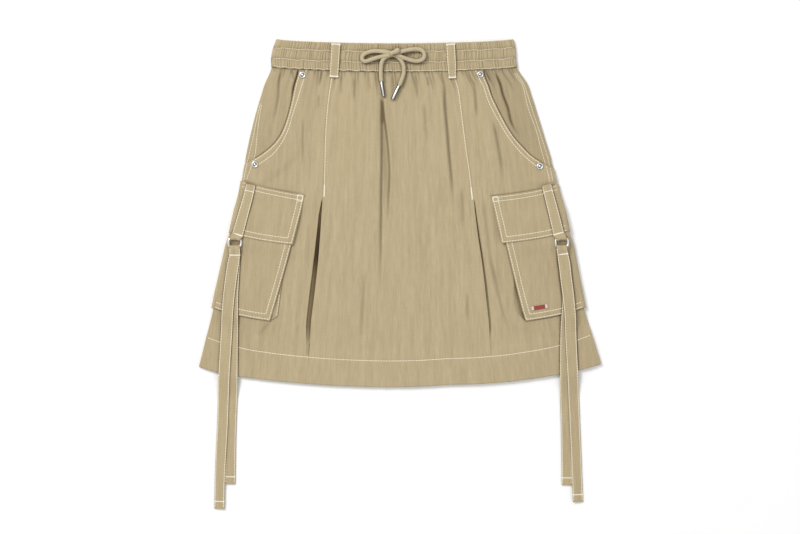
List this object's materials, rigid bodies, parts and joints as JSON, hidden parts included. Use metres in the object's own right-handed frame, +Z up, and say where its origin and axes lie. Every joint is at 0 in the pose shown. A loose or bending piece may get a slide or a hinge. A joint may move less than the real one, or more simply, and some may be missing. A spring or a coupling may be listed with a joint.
{
  "type": "cargo utility skirt",
  "caption": "Knee-length A-line cargo skirt laid out flat: gathered elastic waist with a tied drawstring, hip and flapped cargo pockets, D-rings and hanging straps.",
  "frame": {"origin": "on the surface the skirt lies on, below the middle of its overall length and width", "axes": "+Y towards the waist, +Z up from the surface, +X to the right as seen from above with the waist away from the viewer; the drawstring's and pockets' side is up"},
  "size_m": [0.5454, 0.6391, 0.0185],
  "materials": {
    "fabric": "khaki nylon and cotton plain weave, lightly crinkled, matt with a faint sheen",
    "thread": "cream topstitching thread",
    "cord": "round woven cord, khaki, matt",
    "metal": "polished nickel plate",
    "label": "plain woven tab, brick red with cream edges"
  },
  "bodies": {
    "root": {"front_centre": "fabric", "front_side_left": "fabric", "front_side_right": "fabric", "hip_facing_left": "fabric", "hip_facing_right": "fabric", "back_panel": "fabric", "waistband_front": "fabric", "waistband_back": "fabric", "belt_loop_left": "fabric", "belt_loop_right": "fabric", "cargo_gusset_left": "fabric", "cargo_gusset_right": "fabric", "cargo_pocket_left": "fabric", "cargo_pocket_right": "fabric", "cargo_flap_left": "fabric", "cargo_flap_right": "fabric", "flap_tab_left": "fabric", "flap_tab_right": "fabric", "strap_left": "fabric", "strap_right": "fabric", "d_ring_left": "metal", "d_ring_right": "metal", "rivet_left_upper": "metal", "rivet_left_lower": "metal", "rivet_right_upper": "metal", "rivet_right_lower": "metal", "aglet_left": "metal", "aglet_right": "metal", "drawstring_knot": "cord", "drawstring_lead_left": "cord", "drawstring_lead_right": "cord", "drawstring_loop_left": "cord", "drawstring_loop_right": "cord", "drawstring_tail_left": "cord", "drawstring_tail_right": "cord", "woven_label": "label"}
  },
  "joints": []
}
